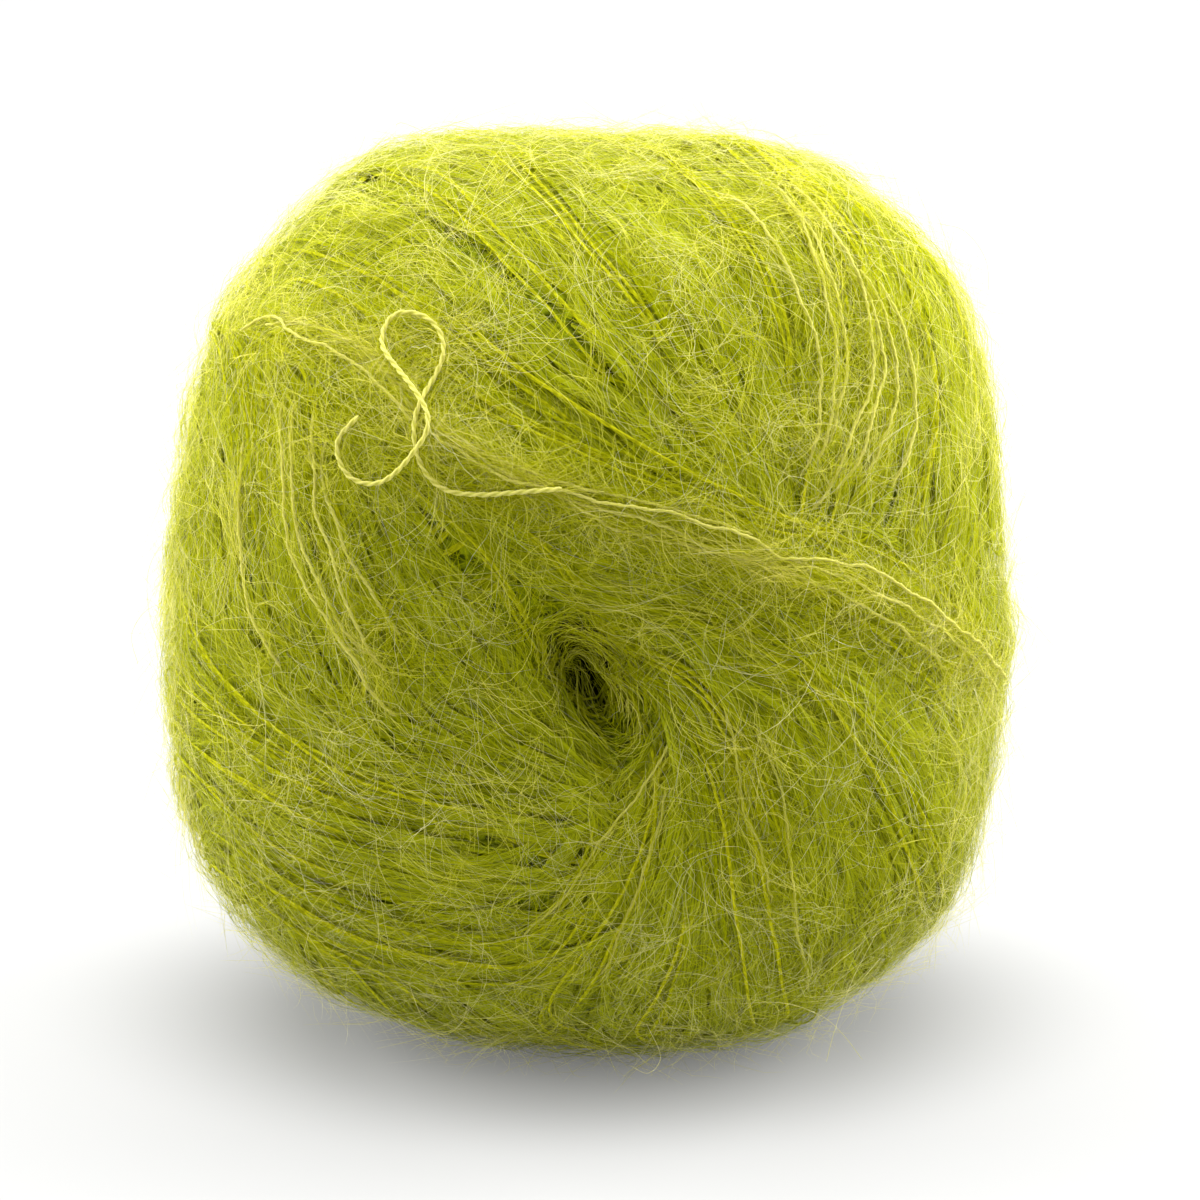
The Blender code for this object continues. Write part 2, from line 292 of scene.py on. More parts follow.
class Surface:
    """The ball's surface as a distance from its centre in every direction, with its outward normals."""

    def __init__(self, node):
        points = [vertex.co for vertex in node.data.vertices]
        self.tree = BVHTree.FromPolygons(points, [tuple(face.vertices) for face in node.data.polygons])
        angle = np.linspace(0, math.pi, ROWS)[:, None]
        turn = np.linspace(0, 2 * math.pi, COLUMNS, endpoint=False)[None, :]
        self.directions = sphere_directions(angle, turn)
        centre = Vector(CENTRE)
        far = np.zeros((ROWS, COLUMNS))
        for row in range(ROWS):
            for column in range(COLUMNS):
                ray = Vector(self.directions[row, column])
                hit = self.tree.ray_cast(centre + ray, -ray)[0]
                far[row, column] = (hit - centre).length
        self.covered = self.smoothed(far)
        self.far = self.covered - self.hole(self.directions)
        self.normals = self.grid_normals()

    @staticmethod
    def smoothed(far):
        for _ in range(SMOOTH_ROUNDS):
            far = (np.roll(far, 1, 1) + 2 * far + np.roll(far, -1, 1)) / 4
            middle = (far[:-2] + 2 * far[1:-1] + far[2:]) / 4
            far = np.vstack([far[:1] * 0 + middle[:1].mean(), middle, far[-1:] * 0 + middle[-1:].mean()])
        return far

    @staticmethod
    def hole(directions):
        """How much deeper the yarn's own pinched hole goes than the solid's dimple."""
        cos, sin = math.cos(HOLE_LEAN), math.sin(HOLE_LEAN)
        right, up = directions[..., 0] * HOLE_FROM - HOLE_RIGHT, directions[..., 2] * HOLE_FROM - HOLE_UP
        ragged = sum(size * np.sin(up / MM * rate + shift) for size, rate, shift in HOLE_WAVES)
        wide = (right * cos + up * sin + ragged) / HOLE_WIDE
        tall = (up * cos - right * sin) / HOLE_TALL
        pit = ((right - PIT_RIGHT) ** 2 + (up - PIT_UP) ** 2) / PIT_REACH**2
        share = np.exp(-(wide**2) - tall**2) + PIT_SHARE * np.exp(-pit)
        return HOLE_DEPTH * share * (directions[..., 1] < 0)

    def grid_normals(self):
        points = self.directions * self.far[..., None]
        around = np.roll(points, -1, 1) - np.roll(points, 1, 1)
        along = np.gradient(points, axis=0)
        normals = unit(np.cross(around, along))
        normals *= np.sign(dot(normals, self.directions))
        normals[0] = unit(normals[1].mean(axis=0))
        normals[-1] = unit(normals[-2].mean(axis=0))
        return normals

    def place(self, directions):
        angle = np.arccos(np.clip(-directions[..., 1], -1, 1)) / math.pi * (ROWS - 1)
        turn = np.arctan2(directions[..., 2], directions[..., 0]) / (2 * math.pi) * COLUMNS
        return angle, turn % COLUMNS

    def read(self, grid, directions):
        """A grid's values in these directions, mixed from the four nearest."""
        angle, turn = self.place(directions)
        row = np.minimum(angle.astype(int), ROWS - 2)
        column = turn.astype(int) % COLUMNS
        after = (column + 1) % COLUMNS
        down, over = angle - row, turn - np.floor(turn)
        if grid.ndim == 3:
            down, over = down[..., None], over[..., None]
        near = grid[row, column] * (1 - over) + grid[row, after] * over
        far = grid[row + 1, column] * (1 - over) + grid[row + 1, after] * over
        return near * (1 - down) + far * down

    def nearest(self, grid, directions):
        angle, turn = self.place(directions)
        return grid[np.rint(angle).astype(int), np.rint(turn).astype(int) % COLUMNS]

    def radius(self, directions):
        return self.read(self.far, directions)

    def lay(self, directions, height=0.0, over_hole=False):
        """Points at a height over the surface, from the centre. over_hole goes across the yarn's own hole."""
        far = self.read(self.covered if over_hole else self.far, directions)
        return directions * (far + height)[..., None]

    def normal(self, points):
        return unit(self.read(self.normals, unit(points)))


def catmull(points, steps):
    """A smooth curve through the points, as an array."""
    points = np.array(points, float)
    points = np.vstack([2 * points[0] - points[1], points, 2 * points[-1] - points[-2]])
    t = np.linspace(0, 1, steps, endpoint=False)[:, None]
    parts = []
    for a, b, c, d in zip(points, points[1:], points[2:], points[3:]):
        ends = 2 * b + (c - a) * t
        bends = (2 * a - 5 * b + 4 * c - d) * t**2 + (3 * b - a - 3 * c + d) * t**3
        parts.append(0.5 * (ends + bends))
    return np.vstack([*parts, points[-2:-1]])


def evenly(points, spacing):
    """The points of a polyline at even spacing, both ends kept."""
    steps = np.linalg.norm(np.diff(points, axis=0), axis=1)
    walked = np.concatenate([[0], np.cumsum(steps)])
    places = np.linspace(0, walked[-1], max(2, round(walked[-1] / spacing) + 1))
    return np.stack([np.interp(places, walked, points[:, axis]) for axis in range(3)], axis=1)


def softened(points, rounds):
    for _ in range(rounds):
        points[1:-1] = (points[:-2] + 2 * points[1:-1] + points[2:]) / 4
    return points


def eye_ray(right, up):
    """The way from the eye through a place on the view's sheet, which is given in mm."""
    return unit(TARGET + (RIGHT * right + UP * up) * MM - EYE)


def seen_from_eye(surface, route):
    """A route on the view's sheet, laid on the ball from the eye. Points from the centre."""
    laid = []
    for right, up in catmull(route, 12):
        hit = surface.tree.ray_cast(Vector(EYE), Vector(eye_ray(right, up)))[0]
        if hit is not None:
            laid.append(np.array(hit) - CENTRE)
    return softened(np.array(laid), 6)


def linked(name, data):
    """A new object of this data, in the scene."""
    made = bpy.data.objects.new(name, data)
    bpy.context.scene.collection.objects.link(made)
    return made


def make_mesh(name, points, faces, places, normals=None):
    """An object of a mesh from arrays: faces of three or four, and each vertex's place on the bake map."""
    mesh = bpy.data.meshes.new(name)
    sides = faces.shape[1]
    mesh.vertices.add(len(points))
    mesh.vertices.foreach_set("co", points.astype(np.float32).ravel())
    mesh.loops.add(faces.size)
    mesh.loops.foreach_set("vertex_index", faces.astype(np.int32).ravel())
    mesh.polygons.add(len(faces))
    mesh.polygons.foreach_set("loop_start", np.arange(0, faces.size, sides, dtype=np.int32))
    mesh.update(calc_edges=True)
    layer = mesh.uv_layers.new(name="OFBake")
    layer.data.foreach_set("uv", places[faces].astype(np.float32).ravel())
    mesh.polygons.foreach_set("use_smooth", np.ones(len(faces), bool))
    mesh.update()
    if normals is not None:
        mesh.normals_split_custom_set_from_vertices(normals.astype(np.float32))
    return linked(name, mesh)


def declare(piece, material):
    piece.data.materials.append(material)
    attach(piece, "root")


# Ribbons, roofs and tubes, from lines of points of the same count. Points are from the frame's origin.

def line_frames(lines, outward):
    """The outward way square to each line, and the way across it, at every point."""
    tangents = unit(np.gradient(lines, axis=1))
    ups = unit(outward - tangents * dot(outward, tangents))
    return ups, np.cross(tangents, ups)


def strip_faces(index):
    """The four-sided faces of strips, from the numbers of their points: strips x steps x points across."""
    corners = [index[:, :-1, :-1], index[:, :-1, 1:], index[:, 1:, 1:], index[:, 1:, :-1]]
    return np.stack(corners, axis=-1).reshape(-1, 4)


def ribbon_arrays(lines, outward, widths, tones):
    """Flat ribbons. outward is the way each point's face looks, and widths are half widths."""
    count, steps = lines.shape[:2]
    ups, sides = line_frames(lines, outward)
    off = sides * widths[..., None]
    points = np.stack([lines - off, lines + off], axis=2).reshape(-1, 3)
    index = np.arange(count * steps * 2).reshape(count, steps, 2)
    along = np.broadcast_to(np.linspace(0.01, 0.99, steps), (count, steps))
    tone = np.clip(tones, 0.01, 0.99) + 0 * along
    edges = [np.stack([tone + side, along], axis=-1) for side in (-0.004, 0.004)]
    places = np.stack(edges, axis=2).reshape(-1, 2)
    return points, strip_faces(index), places, ups


def tube_arrays(line, outward, radius, sides, twist, lobe, tone, shade):
    """A tube of two plies with this twist in turns per metre.

    lobe is how far its section is pinched between the plies, and shade how much darker the tone is there:
    painted shade in the groove.
    """
    ups, across = (ways[0] for ways in line_frames(line[None], outward[None]))
    length = np.concatenate([[0], np.cumsum(np.linalg.norm(np.diff(line, axis=0), axis=1))])
    angle = np.linspace(0, 2 * math.pi, sides, endpoint=False)
    spot = angle[None] + (2 * math.pi * twist * length)[:, None]
    ends = np.minimum(1, np.minimum(length, length[-1] - length) / (radius * 1.5) + 0.35)[:, None]
    reach = radius * (1 - lobe + lobe * np.abs(np.cos(angle)))[None] * ends
    points = line[:, None] + reach[..., None] * (
        np.cos(spot)[..., None] * across[:, None] + np.sin(spot)[..., None] * ups[:, None]
    )
    index = np.arange(len(line) * sides).reshape(len(line), sides)
    after = np.roll(index, -1, axis=1)
    faces = np.stack([index[:-1], after[:-1], after[1:], index[1:]], axis=-1).reshape(-1, 4)
    along = np.linspace(0.01, 0.99, len(line))[:, None] + 0 * angle[None]
    # The pinch's darker tone is painted shade in the groove between the plies.
    # The last term gives every face some width on the bake map.
    tones = tone - shade * (1 - np.abs(np.cos(angle)))[None] + 0.002 * angle[None] + 0 * along
    places = np.stack([tones, along], axis=-1).reshape(-1, 2)
    return points.reshape(-1, 3), faces, places


def joined(parts):
    """Arrays of several meshes as one."""
    points, faces, places = [], [], []
    count = 0
    for part in parts:
        points.append(part[0])
        faces.append(part[1] + count)
        places.append(part[2])
        count += len(part[0])
    return np.vstack(points), np.vstack(faces), np.vstack(places)


# The way the strands run

def winder_way(directions, surface, branch):
    """The way of a winder's turns, which pass WINDER_OFF from the centre. branch, 1 or -1, is the lean."""
    points = surface.lay(directions)
    around = np.arctan2(points[..., 2], points[..., 0])
    across = np.hypot(points[..., 0], points[..., 2])
    share = (WINDER_OFF - points[..., 1] * math.sin(WINDER_LEAN)) / (across * math.cos(WINDER_LEAN) + 1e-9)
    turn = around + branch * np.arccos(np.clip(share, -1, 1))
    normal = np.stack([
        np.cos(turn) * math.cos(WINDER_LEAN), 0 * turn + math.sin(WINDER_LEAN),
        np.sin(turn) * math.cos(WINDER_LEAN),
    ], axis=-1)
    return unit(np.cross(normal, directions))


def outer(vectors):
    """Each vector times itself, as a matrix."""
    return vectors[..., :, None] * vectors[..., None, :]


def way_grid(surface, routes, swap):
    """A grid of the directions that strands run in, as unit vectors. swap picks the other lean."""
    directions = surface.directions
    azimuth = np.arctan2(directions[..., 0], -directions[..., 1])
    # Broad patches, in each of which one of the winder's two leans is on top
    mix = 0.5 + 0.5 * np.sin(2 * azimuth + 1.5 * directions[..., 2] + 0.6)
    mix = np.clip((mix - 0.5) * 3 + 0.5, 0, 1)
    if swap:
        mix = 1 - mix
    tensor = DEFAULT_PULL * (
        mix[..., None, None] * outer(winder_way(directions, surface, 1))
        + (1 - mix[..., None, None]) * outer(winder_way(directions, surface, -1))
    )
    grid_points = surface.lay(directions)
    for route in routes:
        line = evenly(route, FOLLOW_SPACING)
        way = unit(np.gradient(line, axis=0))
        for point, lead in zip(line, way):
            pull = np.exp(-((grid_points - point) ** 2).sum(axis=-1) / FOLLOW_REACH**2)
            tensor = tensor + pull[..., None, None] * outer(lead)
    ways = np.linalg.eigh(tensor)[1][..., -1]
    return unit(ways - surface.normals * dot(ways, surface.normals))


def march(surface, ways, starts, leads, steps, step, heights, bend, follow, over_hole=False):
    """Lines that run over the surface. heights and bend have a value for each line and step."""
    at, lead = starts.copy(), leads.copy()
    lines = []
    for number in range(steps):
        spot = unit(at)
        outward = surface.normal(spot)
        at = surface.lay(spot, heights[:, number], over_hole)
        lines.append(at.copy())
        way = surface.nearest(ways, spot)
        way = way * np.sign(dot(way, lead) + 1e-9)
        lead = lead * (1 - follow) + way * follow
        lead = unit(lead - outward * dot(lead, outward))
        lead = turned(lead, outward, bend[:, number])
        at = at + lead * step[:, None]
    return np.stack(lines, axis=1)


def seeds(surface, count, rng):
    """Points spread evenly over the surface."""
    directions = unit(rng.normal(size=(count * 2, 3)))
    far = surface.radius(directions)
    lean = np.maximum(dot(directions, surface.normal(directions))[:, 0], 0.3)
    keep = rng.random(count * 2) < (far / far.max()) ** 2 / lean / 1.6
    return surface.lay(directions[keep][:count])


def swells(points):
    """A smooth value from about -1 to 1 that makes the fuzz thicker in some places than in others.

    It adds four waves. Their numbers are rates per mm and shifts, and mean nothing more.
    """
    x, y, z = (points / MM).T
    value = np.sin(x * 0.55 + 1.6 * np.sin(z * 0.21)) + np.sin(z * 0.62 + 1.4 * np.sin(y * 0.24 + 1))
    value += (
        np.sin((x + y - z) * 0.31 + 1.3 * np.sin((x - z) * 0.27 + 2))
        + 0.7 * np.sin((y + z) * 1.05 + x * 0.4)
    )
    return value / 2.6


# Materials

class Graph:
    """A material and its nodes, with short ways to add them."""

    def __init__(self, name):
        self.material = bpy.data.materials.new(name)
        self.material.use_nodes = True
        self.nodes = self.material.node_tree.nodes
        self.links = self.material.node_tree.links
        self.nodes.clear()
        self.output = self.nodes.new("ShaderNodeOutputMaterial")

    def add(self, kind, inputs, result, **settings):
        """A new node's result. Each input is a fixed value, or the socket that drives it."""
        node = self.nodes.new("ShaderNode" + kind)
        for name, value in settings.items():
            setattr(node, name, value)
        for name, value in inputs.items():
            if isinstance(value, bpy.types.NodeSocket):
                self.links.new(value, node.inputs[name])
            else:
                node.inputs[name].default_value = value
        return node.outputs[result]

    def vector(self, operation, first, second=None, result="Vector"):
        """A vector maths node's result."""
        inputs = {0: first}
        if second is not None:
            inputs["Scale" if operation == "SCALE" else 1] = second
        return self.add("VectorMath", inputs, result, operation=operation)

    def mapped(self, value, low, high, low_result, high_result=1.0, **settings):
        """The value, from low to high, as a result from low_result to high_result."""
        limits = {"From Min": low, "From Max": high, "To Min": low_result, "To Max": high_result}
        return self.add("MapRange", {"Value": value, **limits}, "Result", **settings)

    def ramp(self, value, *stops):
        """A colour that runs through stops, each a value and a colour."""
        ramp = self.nodes.new("ShaderNodeValToRGB")
        elements = ramp.color_ramp.elements
        for element, (position, colour) in zip(elements, (stops[0], stops[-1])):
            element.position = position
            element.color = (*colour, 1)
        for position, colour in stops[1:-1]:
            elements.new(position).color = (*colour, 1)
        self.links.new(value, ramp.inputs["Fac"])
        return ramp.outputs["Color"]

    def done(self, shader):
        """The material, with this shader as its surface."""
        self.links.new(shader, self.output.inputs["Surface"])
        return self.material

    def fibre(self, colour, through, inputs):
        """The material, as fibre of this colour that lets a share of the light through."""
        lit = self.add("BsdfPrincipled", {"Base Color": colour, **inputs}, "BSDF")
        glow = self.add("BsdfTranslucent", {"Color": colour}, "BSDF")
        return self.done(self.add("MixShader", {"Fac": through, 1: lit, 2: glow}, "Shader"))


def yarn_material(name, dark, light, through, roughness, sheen, painted_twist_patches=0.0, middle=None):
    """Brushed fibre: U of the bake map is its tone, from dark to light, and V is the place along it.

    With a middle colour the lowest tones go down to near black, painted shade deep in the hole. dashes is how
    far the colour changes in patches along the fibre: partly tone that varies, partly painted highlights of
    the twist.
    """
    graph = Graph(name)
    place = graph.add("UVMap", {}, "UV", uv_map="OFBake")
    tone = graph.add("SeparateXYZ", {"Vector": place}, "X")
    if middle:
        stops = [(0, PAINTED_SHADE_COLOUR), (PAINTED_SHADE_TONE, dark), (MIDDLE_TONE, middle), (1, light)]
    else:
        stops = [(0, dark), (1, light)]
    colour = graph.ramp(tone, *stops)
    # Lighter and darker patches along the strand: partly tone that varies, partly painted highlights of the
    # twist.
    if painted_twist_patches:
        inputs = {"Vector": graph.vector("MULTIPLY", place, (160, 60, 1)), "Scale": 1.0, "Detail": 1.0}
        noise = graph.add("TexNoise", inputs, "Fac", noise_dimensions="2D")
        colour = graph.vector("SCALE", colour, graph.mapped(noise, 0.35, 0.65, 1 - painted_twist_patches, 1 + painted_twist_patches))
    return graph.fibre(colour, through, {
        "Roughness": roughness, "Specular IOR Level": 0.02, "Sheen Weight": sheen, "Sheen Roughness": 0.3,
        "Sheen Tint": (1.0, 1.0, 0.88, 1),
    })


def bed_material(hole_end):
    """The solid ground under the fibres, with painted shade round hole_end, the place at the far end of the
    hole.
    """
    graph = Graph("yarn_under_the_fuzz")
    place = graph.add("TexCoord", {}, "Object")
    noise = graph.add("TexNoise", {"Vector": place, "Scale": 1100, "Detail": 3}, "Fac")
    colour = graph.ramp(noise, (0.38, (0.05, 0.065, 0.0)), (0.6, (0.30, 0.36, 0.004)))
    # Painted shade in the hole: the colour darkens near the hole's far end.
    distance_for_painted_shade = graph.vector("DISTANCE", place, hole_end, "Value")
    colour = graph.vector("SCALE", colour, graph.mapped(distance_for_painted_shade, BED_PAINTED_SHADE_FROM, BED_PAINTED_SHADE_TO, 0.06))
    bump = graph.add("Bump", {"Height": noise, "Strength": 0.6, "Distance": 0.4 * MM}, "Normal")
    inputs = {"Base Color": colour, "Normal": bump, "Roughness": 0.95, "Specular IOR Level": 0.1}
    return graph.done(graph.add("BsdfPrincipled", inputs, "BSDF"))


def lock_material():
    """Fine fibres lying side by side on a lock: three sets of streaks that cross at small angles."""
    graph = Graph("locks_of_fibre")
    place = graph.add("UVMap", {}, "UV", uv_map="OFBake")
    to_mm = graph.vector("MULTIPLY", place, (LOCK_MAP_WIDE, LOCK_MAP_LONG, 1))
    colour = None
    for across, along, shift, lean, dark, light, low, high in LOCK_STREAKS:
        spot = graph.add("Mapping", {
            "Vector": to_mm, "Location": (shift, shift, 0), "Rotation": (0, 0, lean),
            "Scale": (1 / across, 1 / along, 1),
        }, "Vector", vector_type="TEXTURE")
        inputs = {"Vector": spot, "Scale": 1.0, "Detail": 2.0, "Distortion": 0.15}
        noise = graph.add("TexNoise", inputs, "Fac", noise_dimensions="2D")
        streaks = graph.ramp(noise, (low, dark), (high, light))
        colour = streaks if colour is None else graph.vector("MAXIMUM", colour, streaks)
    return graph.fibre(colour, 0.3, {"Roughness": 0.8, "Specular IOR Level": 0.1})


# Pieces

def build_locks(surface, ways, name, count, steps, length, width, height, spread, material, seed):
    """Soft flat locks of fibre that lie along the winding and sink at their ends.

    length, width and height are (least, most) in mm, and spread is how far their ways differ.
    """
    rng = np.random.default_rng(seed)
    starts = seeds(surface, count, rng)
    starts = starts[surface.hole(unit(starts)) < LOCK_STARTS_OFF_HOLE]
    count = len(starts)
    spot = unit(starts)
    leads = surface.nearest(ways, spot) * rng.choice((-1.0, 1.0), count)[:, None]
    leads = turned(leads, surface.normal(spot), rng.normal(0, spread, count))
    lengths = rng.uniform(*length, count)
    step = lengths * MM / (steps - 1)
    along = np.linspace(0, 1, steps)[None]
    level = rng.uniform(*height, count)[:, None] + 0.22 * swells(starts)[:, None]
    heights = (level - LOCK_SINK * np.abs(2 * along - 1) ** 3) * MM
    bend = rng.normal(0, 0.02, count)[:, None] * np.ones(steps)[None]
    lines = march(surface, ways, starts, leads, steps, step, heights, bend, 0.25)
    clear = surface.hole(unit(lines)).max(axis=1) < LOCK_DEEPEST_IN_HOLE
    lines, lengths, count = above_floor(lines[clear] + CENTRE, 0.3 * MM), lengths[clear], clear.sum()
    ups, sides = line_frames(lines, unit(lines - CENTRE))
    wide = rng.uniform(*width, count)[:, None]
    half = wide / 2 * MM * np.sqrt(np.clip(1 - np.abs(2 * along - 1) ** 2.5, 0.02, 1))
    across = np.array((-1, 0, 1))
    sag = -LOCK_SAG * across**4
    points = lines[:, :, None] + sides[:, :, None] * (half[..., None] * across)[..., None]
    points = points + ups[:, :, None] * (sag * MM)[None, None, :, None]
    index = np.arange(count * steps * len(across)).reshape(count, steps, len(across))
    u0 = rng.uniform(0.09, 0.91, count)[:, None, None]
    v0 = rng.uniform(0.0, 1.0, count)[:, None, None] * (1 - lengths[:, None, None] / LOCK_MAP_LONG)
    u = u0 + (half / MM)[..., None] * across / LOCK_MAP_WIDE
    v = v0 + (along * lengths[:, None])[..., None] / LOCK_MAP_LONG + 0 * u
    places = np.clip(np.stack([u, v], axis=-1), 0.001, 0.999).reshape(-1, 2)
    declare(
        make_mesh(name, above_floor(points.reshape(-1, 3)), strip_faces(index), places),
        material,
    )


def loose_end_line(surface):
    """The loose end's centreline from the frame's origin, as the part lays it."""
    sheet = Matrix.Rotation(-math.radians(SHEET_LEAN), 3, "X")
    to_ball = sheet @ Vector((0, 1, 0))
    centre = Vector(CENTRE)
    laid = []
    for right, up, lift in catmull(LOOSE_END, 24):
        start = centre + sheet @ Vector((right, 0, up)) * MM - to_ball * DROP_FROM
        hit = surface.tree.ray_cast(start, to_ball)[0]
        outward = (hit - centre).normalized()
        laid.append(hit + outward * (GAP + YARN / 2 + lift * MM))
    return evenly(softened(np.array(laid), 12), 0.28 * MM)


def build_loose_end(surface, material):
    line = loose_end_line(surface)
    piece = make_mesh("loose_end_yarn", *tube_arrays(
        line, unit(line - CENTRE), radius=0.27 * MM, sides=8, twist=TWIST, lobe=0.48, tone=0.98, shade=0.74,
    ))
    declare(piece, material)
    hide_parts("loose_end")
    return line


def build_bed(surface, material):
    """The closed ground that the strands and fibres lie on."""
    angle = np.linspace(0, math.pi, BED_ROWS + 2)[1:-1, None]
    turn = np.linspace(0, 2 * math.pi, BED_COLUMNS, endpoint=False)[None]
    rings = surface.lay(sphere_directions(angle, turn), -BED_DEPTH).reshape(-1, 3)
    ends = surface.lay(np.array([(0, -1.0, 0), (0, 1.0, 0)]), -BED_DEPTH)
    points = above_floor(np.vstack([rings, ends]) + CENTRE)
    index = np.arange(BED_ROWS * BED_COLUMNS).reshape(BED_ROWS, BED_COLUMNS)
    after = np.roll(index, -1, axis=1)
    quads = np.stack([index[:-1], index[1:], after[1:], after[:-1]], axis=-1).reshape(-1, 4)
    front, back = len(points) - 2, len(points) - 1
    faces = np.vstack([
        quads[:, [0, 1, 2]],
        quads[:, [0, 2, 3]],
        np.stack([index[0] * 0 + front, index[0], after[0]], axis=-1),
        np.stack([index[-1] * 0 + back, after[-1], index[-1]], axis=-1),
    ])
    mesh = bpy.data.meshes.new("yarn_bed")
    mesh.from_pydata(points.tolist(), [], faces.tolist())
    mesh.polygons.foreach_set("use_smooth", np.ones(len(faces), bool))
    mesh.update()
    piece = linked("yarn_bed", mesh)
    declare(piece, material)
    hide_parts("ball")


def wildness(points, calm):
    """From 0 where the winding shows plainly to 1 where the fuzz hides it."""
    wild = np.ones(len(points))
    for centre, reach in calm:
        wild *= 1 - 0.85 * np.exp(-((points - centre) ** 2).sum(axis=1) / reach**2)
    return wild


def build_layer(surface, ways, name, count, steps, step, height, width, material, seed, spread, calm=()):
    """A layer of wound strands, each a narrow roof over the bed. Their ends sink out of sight.

    step, height and width, which is a half width, are in metres. spread is how far the strands waver.
    """
    rng = np.random.default_rng(seed)
    starts = seeds(surface, count * 3, rng)
    shown = 1.15 - wildness(starts, calm) if calm else np.ones(len(starts))
    starts = starts[rng.random(len(starts)) < shown][:count]
    count = len(starts)
    leads = surface.nearest(ways, unit(starts))
    ends = np.abs(np.linspace(-1, 1, steps))[None] ** 6
    heights = (height + rng.normal(0, 0.12, count) * MM)[:, None] - 1.1 * MM * ends
    shifts = rng.random(count) * 2 * math.pi
    wave = np.sin(np.arange(steps)[None] * 0.55 + shifts[:, None])
    bend = spread * wave + rng.normal(0, spread, (count, steps))
    lines = march(surface, ways, starts, leads, steps, np.full(count, step), heights, bend, 0.5)
    lines = above_floor(lines + CENTRE, 0.2 * MM)
    ups, across = line_frames(lines, unit(lines - CENTRE))
    half = width * rng.uniform(0.8, 1.15, count)[:, None, None]
    rise = 0.55 * half
    points = np.stack([
        lines - across * half - ups * rise, lines + ups * rise, lines + across * half - ups * rise,
    ], axis=2).reshape(-1, 3)
    index = np.arange(count * steps * 3).reshape(count, steps, 3)
    faces = np.vstack([strip_faces(index[..., :2]), strip_faces(index[..., 1:])])
    tone = rng.uniform(0.03, 0.97, count)[:, None, None]
    along = np.linspace(0.01, 0.99, steps)[None, :, None]
    side = np.array((-1.0, 0, 1.0))[None, None] * width / MM / LOCK_MAP_WIDE
    places = np.stack([tone + 0 * along + side, along + 0 * tone + 0 * side], axis=-1).reshape(-1, 2)
    declare(make_mesh(name, points, faces, places), material)


def build_strands(routes, material):
    """The strands that stand out. All but the belt's sink at both ends, and each wavers a little."""
    parts = []
    rng = np.random.default_rng(41)
    for name, (height, _) in STRANDS.items():
        line = evenly(routes[name], ROUTE_SPACING)
        belt, low = name.startswith("belt"), name.startswith("low")
        sunk = 0.0
        if not belt:
            sunk = (0.15 if low else -0.1) + 1.3 * np.abs(np.linspace(-1, 1, len(line)))[:, None] ** 7
        line = line + unit(line) * (height - 0.75 - sunk) * MM
        line = softened(evenly(line, STRAND_SPACING * MM), 3)
        side = np.cross(unit(np.gradient(line, axis=0)), unit(line))
        place = np.arange(len(line)) * STRAND_SPACING
        for wave in STRAND_WAVES:
            beat = place / wave + 0.25 * np.sin(place / wave * 0.9 + rng.uniform(0, 6.3))
            swell = rng.uniform(0.008, 0.02) * wave * np.sin(2 * math.pi * beat + rng.uniform(0, 6.3))
            line = line + side * swell[:, None] * MM
        line = line + CENTRE
        tone = rng.uniform(0.55, 0.75) if low else rng.uniform(0.86, 0.98)
        parts.append(tube_arrays(
            line, unit(line - CENTRE), radius=(0.16 if low else 0.2) * MM, sides=6, twist=TWIST, lobe=0.45,
            tone=tone, shade=0.85,
        ))
    points, faces, places = joined(parts)
    piece = make_mesh("standing_strands", above_floor(points), faces, places)
    declare(piece, material)


